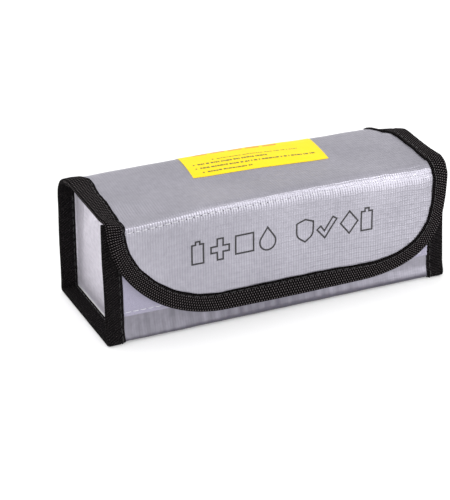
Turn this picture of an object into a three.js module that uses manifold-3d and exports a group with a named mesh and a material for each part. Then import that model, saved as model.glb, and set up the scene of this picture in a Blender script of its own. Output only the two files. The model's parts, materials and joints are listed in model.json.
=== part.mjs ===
// A sewn, box-shaped storage bag for lithium batteries: glass cloth walls, two end panels set back
// behind bound fins, a lid hinged on the rear top fold, and a front flap that closes on hook and loop.
// Millimetres, +Z up, +X along the bag, the flap faces -Y. The origin is under the middle of the bag.
// Every wall is a stack of thin layers. A layer is a ribbon: the space between two offsets inwards
// from a section path in the YZ plane, extruded along X.

import * as THREE from "three";
import { mergeVertices } from "three/addons/utils/BufferGeometryUtils.js";
import Module from "manifold-3d";

const wasm = await Module();
wasm.setup();

// Driving dimensions
const LENGTH = 185;
const DEPTH = 66; // front of the closed flap to the back
const HEIGHT = 64;
const FIN = 9; // how far the walls run past the end panels
const REAR_RADIUS = 12.5; // rear top fold, where the lid hinges
const FRONT_RADIUS = 9.5; // front top fold, where the flap hinges
const BASE_RADIUS = 4; // the two long bottom edges
const CLOTH = 0.5;
const TAPE = 0.7;
const THREAD = 0.3; // height of a row of stitches
const THREAD_WIDTH = 0.5;
const GAP = 0.2; // between layers that touch on the bag
const LID_TAPE_WIDTH = 10; // binding tape that shows on the lid and the flap
const FLAP_BOTTOM = 6.5; // height of the closed flap's lower edge
// A flap corner is a quarter of a superellipse that runs this far along the bag. A power of 2 is an
// ellipse, and a lower one cuts the corner more.
const LEFT_CORNER = { width: 52, power: 1.55 };
const RIGHT_CORNER = { width: 53, power: 2.55 };
const FIN_TOP = 53.5; // where the front fins end, under the fold
const RIM_TOP = 54.5; // upper edge of the front wall
const RIM_TAPE = 9;
const STRIP_WIDTH = 25; // hook and loop strips
const STRIP_THICKNESS = 0.7;
const LOOP_LOW = 14.7;
const HOOK_LOW = 20;
const HOOK_HALF_LENGTH = 46;
const LABEL = { left: -33, right: 40, front: -2, thickness: 0.25 };
const ARC_STEPS = 8; // facets in a quarter turn

// Sizes that follow from those
const HALF_LENGTH = LENGTH / 2;
const BACK = DEPTH / 2;
const FRONT = -DEPTH / 2;
const PANEL_X = HALF_LENGTH - FIN; // inner face of an end panel
const CLOTH_END = HALF_LENGTH - TAPE - GAP; // the cloth ends inside the folded tape
const STITCH_INSET = 1.5; // a row of stitches runs this far inside the tape's edge

// Layers, as [nearer, further] offsets from the outside of the bag
const layersFrom = (start, ...thicknesses) => {
  let at = start;
  return thicknesses.map((thickness) => {
    const layer = [at, at + thickness];
    at += thickness + GAP;
    return layer;
  });
};
const [WALL_TAPE, WALL_CLOTH, WALL_LINING, WALL_INNER_TAPE] = layersFrom(0, TAPE, CLOTH, CLOTH, TAPE);
const TAPE_STACK = WALL_INNER_TAPE[1];
const WALL_THREAD = [TAPE_STACK + GAP / 2, TAPE_STACK + GAP / 2 + THREAD];
const LID_THREAD = [0, THREAD];
const [LID_TAPE, LID_CLOTH, LID_LINING, LID_INNER_TAPE] = layersFrom(THREAD + GAP / 2, TAPE, CLOTH, CLOTH, TAPE);
const LID_STACK = LID_INNER_TAPE[1];
const HOOK_LAYER = [LID_INNER_TAPE[0], LID_INNER_TAPE[0] + STRIP_THICKNESS];
const FLAP_CLEARANCE = 0.3; // between the closed flap and the fins behind it
const WALL_FRONT = FRONT + LID_STACK + FLAP_CLEARANCE; // outside of the front wall
const LID_CLEARANCE = 0.3; // between the lid's tape and the top of an end panel

// Colours and finishes
const finish = (color, roughness, metalness) => new THREE.MeshStandardMaterial({ color, roughness, metalness });
const silverCloth = () => finish(0xb4b2bc, 0.42, 0.35);
const liningCloth = () => finish(0xc3c3c6, 0.7, 0);
const blackTape = () => finish(0x1c1a1b, 0.85, 0);
const blackThread = () => finish(0x141414, 0.7, 0);
const greyThread = () => finish(0xc8c8cc, 0.6, 0);
const whiteLoop = () => finish(0xd9d6e4, 0.95, 0);
const whiteHook = () => finish(0xe4e4e8, 0.6, 0);
const yellowLabel = () => finish(0xf6df1e, 0.5, 0);

// Section paths: points on the outside of the bag in the YZ plane, each with its inward direction
const straight = (from, to, inward) =>
  [from, to].map(([y, z]) => ({ y, z, inward }));

const turn = ([y, z], radius, fromDegrees, toDegrees, steps = ARC_STEPS) =>
  Array.from({ length: steps + 1 }, (_, i) => {
    const angle = THREE.MathUtils.degToRad(fromDegrees + ((toDegrees - fromDegrees) * i) / steps);
    const out = [Math.cos(angle), Math.sin(angle)];
    return { y: y + radius * out[0], z: z + radius * out[1], inward: [-out[0], -out[1]] };
  });

const REAR_CENTRE = [BACK - REAR_RADIUS, HEIGHT - REAR_RADIUS];
const FRONT_CENTRE = [FRONT + FRONT_RADIUS, HEIGHT - FRONT_RADIUS];
const BASE_FRONT_CENTRE = [WALL_FRONT + BASE_RADIUS, BASE_RADIUS];
const BASE_BACK_CENTRE = [BACK - BASE_RADIUS, BASE_RADIUS];
const seamAngle = (radius) => THREE.MathUtils.radToDeg(GAP / 2 / radius); // half a gap, as an angle
const REAR_SEAM = seamAngle(REAR_RADIUS);
const FRONT_SEAM = seamAngle(FRONT_RADIUS);
const BASE_SEAM = seamAngle(BASE_RADIUS);

const frontWallPath = (top) => [
  ...straight([WALL_FRONT, top], [WALL_FRONT, BASE_RADIUS], [1, 0]),
  ...turn(BASE_FRONT_CENTRE, BASE_RADIUS, 180, 225 - BASE_SEAM, ARC_STEPS / 2).slice(1),
];
const bottomPath = [
  ...turn(BASE_FRONT_CENTRE, BASE_RADIUS, 225 + BASE_SEAM, 270, ARC_STEPS / 2),
  ...turn(BASE_BACK_CENTRE, BASE_RADIUS, 270, 315 - BASE_SEAM, ARC_STEPS / 2),
];
const backWallPath = [
  ...turn(BASE_BACK_CENTRE, BASE_RADIUS, 315 + BASE_SEAM, 360, ARC_STEPS / 2),
  ...turn(REAR_CENTRE, REAR_RADIUS, 0, 45 - REAR_SEAM, ARC_STEPS / 2),
];
const lidPath = [
  ...turn(REAR_CENTRE, REAR_RADIUS, 45 + REAR_SEAM, 90, ARC_STEPS / 2),
  ...turn(FRONT_CENTRE, FRONT_RADIUS, 90, 135 - FRONT_SEAM, ARC_STEPS / 2),
];
const flapFoldPath = turn(FRONT_CENTRE, FRONT_RADIUS, 135 + FRONT_SEAM, 180, ARC_STEPS / 2);

// Solids. manifold-3d joins and cuts; three.js makes every shape.
function solidOf(geometry) {
  const bare = geometry.index ? geometry.toNonIndexed() : geometry.clone();
  bare.deleteAttribute("normal");
  bare.deleteAttribute("uv");
  const merged = mergeVertices(bare, 1e-4);
  return new wasm.Manifold(
    new wasm.Mesh({
      numProp: 3,
      vertProperties: merged.attributes.position.array,
      triVerts: new Uint32Array(merged.index.array),
    }),
  );
}

function geometryOf(solid) {
  const mesh = solid.getMesh();
  const geometry = new THREE.BufferGeometry();
  geometry.setAttribute("position", new THREE.BufferAttribute(mesh.vertProperties, 3));
  geometry.setIndex(new THREE.BufferAttribute(mesh.triVerts, 1));
  geometry.computeVertexNormals();
  return geometry;
}

const join = (...geometries) => geometryOf(geometries.map(solidOf).reduce((all, next) => all.add(next)));
const cut = (geometry, tool) => geometryOf(solidOf(geometry).subtract(solidOf(tool)));
const common = (geometry, other) => geometryOf(solidOf(geometry).intersect(solidOf(other)));

const SECTION_TURN = new THREE.Quaternion(0.5, 0.5, 0.5, 0.5); // shape X to +Y, shape Y to +Z, depth to +X
const FACE_TURN = new THREE.Quaternion().setFromAxisAngle(new THREE.Vector3(1, 0, 0), Math.PI / 2);

// A YZ outline extruded from x = low to x = high
function acrossX(outline, low, high) {
  const shape = new THREE.Shape(outline.map(([y, z]) => new THREE.Vector2(y, z)));
  return new THREE.ExtrudeGeometry(shape, { depth: high - low, bevelEnabled: false })
    .applyQuaternion(SECTION_TURN)
    .translate(low, 0, 0);
}

// An XZ outline, with an optional hole, extruded from y = front to y = back
function acrossY(outline, front, back, hole) {
  const shape = new THREE.Shape(outline.map(([x, z]) => new THREE.Vector2(x, z)));
  if (hole) shape.holes.push(new THREE.Path(hole.map(([x, z]) => new THREE.Vector2(x, z))));
  return new THREE.ExtrudeGeometry(shape, { depth: back - front, bevelEnabled: false })
    .applyQuaternion(FACE_TURN)
    .translate(0, back, 0);
}

const box = (x0, x1, y0, y1, z0, z1) =>
  new THREE.BoxGeometry(x1 - x0, y1 - y0, z1 - z0).translate((x0 + x1) / 2, (y0 + y1) / 2, (z0 + z1) / 2);

const offsetPoint = ({ y, z, inward }, offset) => [y + inward[0] * offset, z + inward[1] * offset];

function ribbon(path, [near, far], low, high) {
  const outer = path.map((point) => offsetPoint(point, near));
  const inner = path.map((point) => offsetPoint(point, far)).reverse();
  return acrossX([...outer, ...inner], low, high);
}

// The same at either end of the bag: side is -1 for the left end and 1 for the right, and a and b are
// distances from the middle
const between = (side, a, b) => [Math.min(side * a, side * b), Math.max(side * a, side * b)];
const endRibbon = (side, path, layer, a, b) => ribbon(path, layer, ...between(side, a, b));

// Tape folded round a fin: a leg on each side of the cloth and a fold round its edge
const foldedTape = (side, path, outerLeg, innerLeg, outerStart, innerStart) =>
  join(
    endRibbon(side, path, outerLeg, outerStart, HALF_LENGTH),
    endRibbon(side, path, [outerLeg[0], innerLeg[1]], HALF_LENGTH - TAPE, HALF_LENGTH),
    endRibbon(side, path, innerLeg, innerStart, HALF_LENGTH),
  );

// Pieces and their groups
const bag = new THREE.Group();
const shell = new THREE.Group();
const lid = new THREE.Group();
const flap = new THREE.Group();
bag.add(shell, lid, flap);

function piece(group, name, geometry, material) {
  const mesh = new THREE.Mesh(geometry, material);
  mesh.name = name;
  group.add(mesh);
}

// Shell walls: outer cloth and lining. The real cloth is one strip that runs on into lid and flap.
const liningEnd = PANEL_X - GAP;
const finTops = [-1, 1].map((side) =>
  box(...between(side, liningEnd, LENGTH), FRONT, 0, FIN_TOP, HEIGHT));
const walls = [
  ["front", frontWallPath(RIM_TOP - TAPE - GAP), finTops],
  ["bottom", bottomPath, []],
  ["back", backWallPath, []],
];
for (const [name, path, cuts] of walls) {
  const cloth = cuts.reduce(cut, ribbon(path, WALL_CLOTH, -CLOTH_END, CLOTH_END));
  piece(shell, `wall_${name}`, cloth, silverCloth());
  piece(shell, `lining_${name}`, ribbon(path, WALL_LINING, -liningEnd, liningEnd), liningCloth());
}

// End panels: a face, with its edges turned out along the fins and its top edge folded down as a hem
const HEM = 6;
const flangePath = [
  ...straight([WALL_FRONT, FIN_TOP], [WALL_FRONT, BASE_RADIUS], [1, 0]),
  ...turn(BASE_FRONT_CENTRE, BASE_RADIUS, 180, 270).slice(1),
  ...turn(BASE_BACK_CENTRE, BASE_RADIUS, 270, 360),
  ...turn(REAR_CENTRE, REAR_RADIUS, 0, 45 - REAR_SEAM, ARC_STEPS / 2),
];
const underLidPath = [
  ...turn(REAR_CENTRE, REAR_RADIUS, 45 - REAR_SEAM, 90, ARC_STEPS / 2),
  ...turn(FRONT_CENTRE, FRONT_RADIUS, 90, 150, ARC_STEPS / 2),
];

function endOutline(wallOffset) {
  const walled = flangePath.map((point) => offsetPoint(point, wallOffset));
  const underLid = underLidPath.map((point) => offsetPoint(point, LID_STACK + LID_CLEARANCE));
  return [...walled, ...underLid.filter(([y]) => y > WALL_FRONT + wallOffset)];
}

for (const [end, side] of [["left", -1], ["right", 1]]) {
  const face = acrossX(endOutline(WALL_LINING[0]), ...between(side, PANEL_X, PANEL_X + CLOTH));
  const flange = endRibbon(side, flangePath, WALL_LINING, PANEL_X, CLOTH_END);
  const hem = common(
    acrossX(endOutline(TAPE_STACK + GAP), ...between(side, PANEL_X, PANEL_X + 2 * CLOTH)),
    box(-LENGTH, LENGTH, FRONT_CENTRE[0], REAR_CENTRE[0], HEIGHT - LID_STACK - HEM, HEIGHT),
  );
  piece(shell, `end_panel_${end}`, join(face, flange, hem), silverCloth());
  piece(
    shell, `lining_${end}`,
    acrossX(endOutline(WALL_LINING[1] + GAP), ...between(side, liningEnd - CLOTH, liningEnd)),
    liningCloth(),
  );
  const fins = [
    ["front", frontWallPath(FIN_TOP)],
    ["bottom", bottomPath],
    ["back", backWallPath],
  ];
  for (const [name, path] of fins) {
    piece(
      shell, `binding_${end}_${name}`,
      foldedTape(side, path, WALL_TAPE, WALL_INNER_TAPE, PANEL_X, PANEL_X + CLOTH + GAP),
      blackTape(),
    );
  }
  const stitchX = PANEL_X + CLOTH + GAP + STITCH_INSET;
  piece(
    shell, `thread_end_${end}`,
    endRibbon(side, flangePath, WALL_THREAD, stitchX, stitchX + THREAD_WIDTH),
    blackThread(),
  );
}

// Binding over the front wall's upper edge, between the fins
const rimPath = straight([WALL_FRONT, RIM_TOP], [WALL_FRONT, RIM_TOP - RIM_TAPE], [1, 0]);
const rimFold = straight([WALL_FRONT, RIM_TOP], [WALL_FRONT, RIM_TOP - TAPE], [1, 0]);
const rimEnd = liningEnd - CLOTH - GAP; // the inner leg stops at the end linings
piece(
  shell, "binding_rim",
  join(
    ribbon(rimPath, WALL_TAPE, -liningEnd, liningEnd),
    ribbon(rimFold, [0, TAPE_STACK], -rimEnd, rimEnd),
    ribbon(rimPath, WALL_INNER_TAPE, -rimEnd, rimEnd),
  ),
  blackTape(),
);
const rimStitchZ = RIM_TOP - RIM_TAPE + STITCH_INSET;
piece(
  shell, "thread_rim",
  box(-rimEnd, rimEnd, WALL_FRONT + WALL_THREAD[0], WALL_FRONT + WALL_THREAD[1],
    rimStitchZ, rimStitchZ + THREAD_WIDTH),
  blackThread(),
);

// Hook and loop strips: each has a sunk row of stitches round its edge
const rectangle = (halfX, z0, z1) => [[-halfX, z0], [halfX, z0], [halfX, z1], [-halfX, z1]];
const stitchRing = (halfX, z0, z1, inset, width, front, back) =>
  acrossY(
    rectangle(halfX - inset, z0 + inset, z1 - inset), front, back,
    rectangle(halfX - inset - width, z0 + inset + width, z1 - inset - width).reverse(),
  );

function sewnStrip(halfX, low, front, facing) {
  const high = low + STRIP_WIDTH;
  const back = front + STRIP_THICKNESS;
  const depth = THREAD + GAP / 2; // of the groove that the stitches sink into
  const sunk = facing < 0 ? [front - GAP, front + depth] : [back - depth, back + GAP];
  const row = facing < 0 ? [front, front + THREAD] : [back - THREAD, back];
  const groove = stitchRing(halfX, low, high, STITCH_INSET - GAP, THREAD_WIDTH + 2 * GAP, ...sunk);
  return {
    strip: cut(box(-halfX, halfX, front, back, low, high), groove),
    thread: stitchRing(halfX, low, high, STITCH_INSET, THREAD_WIDTH, ...row),
  };
}
const loopFront = WALL_FRONT + WALL_CLOTH[0] - GAP - STRIP_THICKNESS;
const loop = sewnStrip(liningEnd, LOOP_LOW, loopFront, -1);
piece(shell, "loop_strip", loop.strip, whiteLoop());
piece(shell, "thread_loop_strip", loop.thread, greyThread());

// Lid, from the rear fold to the front fold
piece(lid, "lid_panel", ribbon(lidPath, LID_CLOTH, -CLOTH_END, CLOTH_END), silverCloth());
piece(lid, "lid_lining", ribbon(lidPath, LID_LINING, -CLOTH_END, CLOTH_END), liningCloth());
const lidTapeStart = HALF_LENGTH - LID_TAPE_WIDTH;
for (const [end, side] of [["left", -1], ["right", 1]]) {
  piece(
    lid, `lid_binding_${end}`,
    foldedTape(side, lidPath, LID_TAPE, LID_INNER_TAPE, lidTapeStart, lidTapeStart),
    blackTape(),
  );
  const stitchX = lidTapeStart + STITCH_INSET;
  piece(
    lid, `thread_lid_${end}`,
    endRibbon(side, lidPath, LID_THREAD, stitchX, stitchX + THREAD_WIDTH),
    blackThread(),
  );
}
const labelPath = [
  ...turn(REAR_CENTRE, REAR_RADIUS, 58, 90, ARC_STEPS / 2),
  ...straight([REAR_CENTRE[0] - 1, HEIGHT], [LABEL.front, HEIGHT], [0, -1]),
];
const labelLayer = [LID_CLOTH[0] - GAP - LABEL.thickness, LID_CLOTH[0] - GAP];
piece(lid, "label", ribbon(labelPath, labelLayer, LABEL.left, LABEL.right), yellowLabel());

// Flap: half of the front fold, then a flat face with two wide curved corners. The outline is drawn
// inset from the flap's edge, from the top left down round to the top right.
function flapOutline(inset) {
  const top = FRONT_CENTRE[1];
  const cornerHeight = top - FLAP_BOTTOM;
  const corner = (side, { width, power }, steps = 2 * ARC_STEPS) =>
    Array.from({ length: steps + 1 }, (_, i) => {
      const angle = (Math.PI / 2) * (i / steps);
      const across = Math.cos(angle) ** (2 / power);
      const down = Math.sin(angle) ** (2 / power);
      const point = new THREE.Vector2(
        side * (HALF_LENGTH - width * (1 - across)), top - cornerHeight * down);
      const normal = new THREE.Vector2(
        (-side * across ** (power - 1)) / width, down ** (power - 1) / cornerHeight).normalize();
      return point.addScaledVector(normal, inset);
    });
  const left = corner(-1, LEFT_CORNER);
  const right = corner(1, RIGHT_CORNER).reverse();
  return [...left, ...right].map((point) => [point.x, Math.min(point.y, top)]);
}
const flapLayer = ([near, far]) => [FRONT + near, FRONT + far];

function flapSheet(layer, inset) {
  const fold = ribbon(flapFoldPath, layer, inset - HALF_LENGTH, HALF_LENGTH - inset);
  return join(fold, acrossY(flapOutline(inset), ...flapLayer(layer)));
}

// A band along the flap's edge, from one inset to another, carried up both sides of the fold
function flapBand(layer, outerInset, innerInset) {
  const flat = acrossY([...flapOutline(outerInset), ...flapOutline(innerInset).reverse()], ...flapLayer(layer));
  const sides = [-1, 1].map((side) =>
    endRibbon(side, flapFoldPath, layer, HALF_LENGTH - innerInset, HALF_LENGTH - outerInset));
  return join(flat, ...sides);
}
const flapClothInset = TAPE + GAP;
piece(flap, "flap_panel", flapSheet(LID_CLOTH, flapClothInset), silverCloth());
piece(flap, "flap_lining", flapSheet(LID_LINING, flapClothInset), liningCloth());
piece(
  flap, "flap_binding",
  join(
    flapBand(LID_TAPE, 0, LID_TAPE_WIDTH),
    flapBand([LID_TAPE[0], LID_INNER_TAPE[1]], 0, TAPE),
    flapBand(LID_INNER_TAPE, 0, LID_TAPE_WIDTH),
  ),
  blackTape(),
);
const flapStitch = LID_TAPE_WIDTH - STITCH_INSET;
piece(flap, "thread_flap_edge", flapBand(LID_THREAD, flapStitch - THREAD_WIDTH, flapStitch), blackThread());

const hook = sewnStrip(HOOK_HALF_LENGTH, HOOK_LOW, FRONT + HOOK_LAYER[0], 1);
piece(flap, "hook_strip", hook.strip, whiteHook());
piece(flap, "thread_hook_strip", hook.thread, greyThread());

// Row of stitches that creases the flap under the front fold
const creaseFront = FRONT + LID_CLOTH[0] - GAP / 2 - THREAD;
const creaseTop = FRONT_CENTRE[1] - 0.5;
const creaseHalf = HALF_LENGTH - LID_TAPE_WIDTH - 1;
piece(
  flap, "thread_crease",
  box(-creaseHalf, creaseHalf, creaseFront, creaseFront + THREAD, creaseTop - THREAD_WIDTH, creaseTop),
  greyThread(),
);

export default bag;
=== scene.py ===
"""Looks of a sewn storage bag for lithium batteries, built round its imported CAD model.

The outer cloth is one long strip. A point on it has x, its place along the bag, and q, its run:
the distance along the cloth from the middle of the front fold, positive over the lid, down the
back, under the bottom and up the front wall, and negative down the flap. skin() turns x, q and a
depth below the outside of the bag into a point, so every layer, tape, stitch and label follows
the same folds and wrinkles. Lengths are in millimetres until a mesh is made.
"""

import json
import math

import bmesh
import bpy
import numpy as np
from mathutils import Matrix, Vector
from numpy.linalg import norm


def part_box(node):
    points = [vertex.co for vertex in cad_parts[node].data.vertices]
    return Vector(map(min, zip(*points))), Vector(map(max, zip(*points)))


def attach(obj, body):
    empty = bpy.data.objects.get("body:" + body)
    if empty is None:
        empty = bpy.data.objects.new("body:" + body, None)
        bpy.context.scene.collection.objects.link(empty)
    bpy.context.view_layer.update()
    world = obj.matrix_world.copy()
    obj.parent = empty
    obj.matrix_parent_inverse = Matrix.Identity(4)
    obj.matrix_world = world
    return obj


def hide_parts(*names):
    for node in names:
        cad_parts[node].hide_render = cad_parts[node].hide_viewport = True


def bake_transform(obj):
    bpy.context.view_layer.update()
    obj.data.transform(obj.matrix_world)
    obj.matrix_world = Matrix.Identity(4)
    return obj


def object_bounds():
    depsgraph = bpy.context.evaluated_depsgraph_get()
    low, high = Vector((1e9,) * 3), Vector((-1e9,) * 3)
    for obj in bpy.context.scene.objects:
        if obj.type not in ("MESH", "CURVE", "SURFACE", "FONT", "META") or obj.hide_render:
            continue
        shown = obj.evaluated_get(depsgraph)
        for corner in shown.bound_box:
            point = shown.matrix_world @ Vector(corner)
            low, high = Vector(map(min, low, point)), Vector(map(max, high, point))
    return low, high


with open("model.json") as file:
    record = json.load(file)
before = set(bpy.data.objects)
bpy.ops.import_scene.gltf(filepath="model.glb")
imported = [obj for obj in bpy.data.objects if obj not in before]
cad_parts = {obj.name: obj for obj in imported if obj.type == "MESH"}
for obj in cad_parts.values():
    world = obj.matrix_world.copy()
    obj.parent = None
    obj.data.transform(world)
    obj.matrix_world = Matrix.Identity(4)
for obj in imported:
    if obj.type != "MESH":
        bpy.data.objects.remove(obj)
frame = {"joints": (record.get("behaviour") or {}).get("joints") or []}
cad_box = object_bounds()
MM = 0.001
rng = np.random.default_rng(11)

# ---------- sizes, from the frame


def low(node):
    return np.array(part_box(node)[0]) / MM


def high(node):
    return np.array(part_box(node)[1]) / MM


HALF = cad_box[1].x / MM
FRONT = cad_box[0].y / MM
BACK = cad_box[1].y / MM
HEIGHT = cad_box[1].z / MM
WALL_FRONT = low("binding_left_front")[1]
PANEL_X = low("end_panel_right")[0]
RIM_TOP = high("binding_rim")[2]
FLAP_LOW = low("flap_binding")[2]
LID_PIVOT = np.array(frame["joints"][0]["pos_m"]) / MM
REAR_RADIUS = (BACK - LID_PIVOT[1]) / (1 - math.sqrt(0.5))
REAR_Y = BACK - REAR_RADIUS
REAR_Z = HEIGHT - REAR_RADIUS
FOLD_BAND = 10.5  # the lid ends, and the flap's cloth starts, this far behind the flap's face

# Depths below the outside of the bag: (nearer, further)
TAPE_OUT = (0.05, 0.65)
CLOTH = (0.9, 1.25)
LINING = (1.4, 1.75)
TAPE_IN = (1.9, 2.5)
TAPE_MIDDLE = (TAPE_OUT[0] + TAPE_IN[1]) / 2
TAPE_THICKNESS = TAPE_OUT[1] - TAPE_OUT[0]
CLOTH_INSET = 1.3  # the cloth stops this far inside the tape's fold
CLOTH_END = HALF - CLOTH_INSET
OUTER_THREAD = TAPE_OUT[0] + 0.1
INNER_THREAD = TAPE_IN[1] - 0.06

ENDS = ((-1, "left"), (1, "right"))

# How the soft bag leaves its plain section
LEAN = 3.2  # the front wall's foot stands this far forward of its top
LEAN_TOP = 58.0
FOOT_SPREAD = 1.7
EDGE_OUT = 0.35  # folded tape stands past the cloth it binds
BASE_RADIUS = 2.4  # the bottom's rounded edges
CREASE_RUN = -2.0  # the stitched crease under the front fold

# ---------- the bag's surface


def joined(*parts):
    """Arrays of numbers as the columns of one array."""
    return np.stack(parts, axis=-1)


def smooth(t):
    t = np.clip(t, 0.0, 1.0)
    return t * t * (3 - 2 * t)


def hump(t):
    return np.clip(1 - np.square(t), 0.0, 1.0)


def bell(t):
    return np.exp(-np.square(t))


def fold_radius(x):
    """Front fold: a sharp crease at the left end that opens to a round fold at the right."""
    return 4.5 + 5.5 * smooth((x + HALF) / (2 * HALF))


def quarter(radius):
    return radius * math.pi / 2


def run_of_lid(x, y):
    radius = fold_radius(x)
    return quarter(radius) / 2 + (y - FRONT - radius)


def run_of_flap(x, z):
    radius = fold_radius(x)
    return z - (HEIGHT - radius + quarter(radius) / 2)


def run_of_rear_fold(x):
    return run_of_lid(x, REAR_Y)


def run_of_back(x, z):
    return run_of_rear_fold(x) + quarter(REAR_RADIUS) + (REAR_Z - z)


def run_of_bottom(x, y):
    return run_of_back(x, BASE_RADIUS) + quarter(BASE_RADIUS) + (BACK - BASE_RADIUS - y)


def run_of_wall_front(x, z):
    return run_of_bottom(x, WALL_FRONT + BASE_RADIUS) + quarter(BASE_RADIUS) + (z - BASE_RADIUS)


def section(x, q):
    """The undisturbed section at x: y and z, and the outward direction there."""
    fold, base = fold_radius(x), BASE_RADIUS
    half_fold = quarter(fold) / 2
    starts = [
        -half_fold,
        half_fold,
        run_of_rear_fold(x),
        run_of_back(x, REAR_Z),
        run_of_back(x, base),
        run_of_bottom(x, BACK - base),
        run_of_bottom(x, WALL_FRONT + base),
        run_of_wall_front(x, base),
    ]
    span = sum((q >= start).astype(int) for start in starts)
    zero = np.zeros_like(x)

    def arc(y_centre, z_centre, radius, angle):
        return (
            y_centre + radius * np.cos(angle),
            z_centre + radius * np.sin(angle),
            np.cos(angle),
            np.sin(angle),
        )

    def flat(y, z, ny, nz):
        return y + zero, z + zero, ny + zero, nz + zero

    parts = [
        flat(FRONT, HEIGHT - fold + half_fold + q, -1, 0),
        arc(FRONT + fold, HEIGHT - fold, fold, math.pi * 3 / 4 - q / fold),
        flat(FRONT + fold + q - half_fold, HEIGHT, 0, 1),
        arc(REAR_Y, REAR_Z, REAR_RADIUS, math.pi / 2 - (q - starts[2]) / REAR_RADIUS),
        flat(BACK, REAR_Z - (q - starts[3]), 1, 0),
        arc(BACK - base, base, base, -(q - starts[4]) / base),
        flat(BACK - base - (q - starts[5]), 0, 0, -1),
        arc(WALL_FRONT + base, base, base, -math.pi / 2 - (q - starts[6]) / base),
        flat(WALL_FRONT, base + (q - starts[7]), -1, 0),
    ]
    return [np.select([span == i for i in range(len(parts))], [p[k] for p in parts]) for k in range(4)]


def lean(z):
    """How far the front wall stands forward at each height: it leans, and its foot spreads."""
    return LEAN * np.clip(1 - z / LEAN_TOP, 0, 1) + FOOT_SPREAD * smooth((9 - z) / 8)


def drape(x, q, y, z, ny, nz):
    """How far the cloth stands out from the plain section."""
    on_top = np.clip(nz, 0, 1)
    under = np.clip(-nz, 0, 1)
    on_flap = (q < 0) * np.clip(-ny, 0, 1)
    on_wall = (q > 0) * np.clip(-ny, 0, 1)
    at_back = np.clip(ny, 0, 1)
    inner = hump(x / (HALF - 6))
    # the lid's ripples, crown and hollow
    out = 0.2 * on_top * np.sin(x / 9.7 + 0.9) * hump(y / 30) * inner
    out += 0.7 * on_top * inner * (hump((y - 14) / 16) - 0.8 * bell((y + 6) / 9))
    # the flap hangs over the leaning wall, wavers, and stands out at its corners
    out += on_flap * np.clip(lean(z) - 1.0, 0, None)
    out += 0.25 * on_flap * np.sin(x / 13.0 + z / 17.0 + 1.0)
    out += 0.8 * on_flap * bell((x + 84) / 16) * hump((z - 30) / 26)
    out += 0.5 * on_flap * bell((x - 86) / 14) * hump((z - 26) / 24)
    # the walls' bulges
    out += 0.3 * on_wall * inner * hump((z - 10) / 12)
    out += 0.6 * at_back * inner * hump((z - 28) / 26) * (1 + 0.4 * np.sin(x / 15.0))
    # wavy fins, and puckers beside and along their seams
    fin = np.clip((np.abs(x) - PANEL_X) / (HALF - PANEL_X), 0, 1)
    out += 0.3 * fin * np.sin(q / 6.1 + np.sign(x) * 1.3) * (1 - under)
    to_seam = np.abs(x) - (HALF - 10)
    pucker = np.sin(q / 0.95 + 0.8 * np.sin(q / 4.3)) * (1 - under)
    out += 0.16 * pucker * np.where(to_seam < 0, bell(to_seam / 4.0), 0.25 * (1 - on_wall))
    # the stitched crease, and small dents all over
    crease = q - CREASE_RUN
    out -= 0.35 * bell(crease / 0.8)
    out += 0.10 * bell(crease / 3.0) * np.sin(x * math.pi / 2)
    out += 0.07 * np.sin(x / 4.1 + q / 6.7) * np.sin(q / 5.3 - x / 11.0)
    return out


def lift(x, y, z):
    """How far the top of the bag rises or droops: up at the back and the fins, down by the crease."""
    rear = (0.4 + 1.9 * smooth((60 - x) / 85)) * smooth((y + 22) / 46)
    inside = 1 - smooth((np.abs(x) - 84) / 8)
    front = 2.7 * smooth((-x - 30) / 50) + 1.2 * smooth((x - 38) / 42)
    ends = 1.6 * smooth((-x - 82) / 8) + 0.8 * smooth((x - 84) / 8)
    tuck = 3.6 * smooth((x - 76) / 14) * smooth((y - 10) / 12)
    tuck += 2.0 * smooth((-x - 82) / 9) * smooth((y - 14) / 10)
    return smooth((z - 28) / 34) * (rear - front * inside * smooth((-y - 6) / 22) + ends - tuck)


def skin(x, q, depth):
    """Points on or under the bag's surface, as an array of shape (..., 3) in millimetres."""
    x, q, depth = np.broadcast_arrays(*(np.asarray(v, float) for v in (x, q, depth)))
    y, z, ny, nz = section(x, q)
    out = drape(x, q, y, z, ny, nz) - depth
    forward = (q > 0) * lean(z) * smooth((8 - y) / 36)
    up = lift(x, y, z)
    return joined(x, y + ny * out - forward, np.maximum(z + nz * out + up, 0.02))


def skin_normal(x, q, depth):
    step = 0.4
    along = skin(x + step, q, depth) - skin(x - step, q, depth)
    down = skin(x, q + step, depth) - skin(x, q - step, depth)
    normal = np.cross(down, along)
    return -normal / norm(normal, axis=-1, keepdims=True)


# ---------- mesh building


def run_along(line):
    """The distance along a line of points, at each point."""
    return np.append(0, np.cumsum(norm(np.diff(line, axis=0), axis=1)))


def ring(count):
    """Angles round a circle."""
    return np.arange(count) * 2 * math.pi / count


def add_object(name, data):
    obj = bpy.data.objects.new(name, data)
    bpy.context.scene.collection.objects.link(obj)
    return obj


def make_piece(name, points, faces, material, uv=None, sharp=40):
    """A mesh object from points in millimetres, with one (u, v) per face corner in millimetres."""
    if uv is None:
        uv = np.zeros((sum(len(face) for face in faces), 2))
    mesh = bpy.data.meshes.new(name)
    mesh.from_pydata((np.asarray(points) * MM).tolist(), [], [list(map(int, f)) for f in faces])
    layer = mesh.uv_layers.new(name="weave")
    layer.data.foreach_set("uv", np.asarray(uv, np.float32).ravel())
    mesh.materials.append(material)
    made = bmesh.new()
    made.from_mesh(mesh)
    bmesh.ops.recalc_face_normals(made, faces=made.faces)
    made.to_mesh(mesh)
    made.free()
    mesh.shade_smooth()
    mesh.set_sharp_from_angle(angle=math.radians(sharp))
    return add_object(name, mesh)


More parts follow.
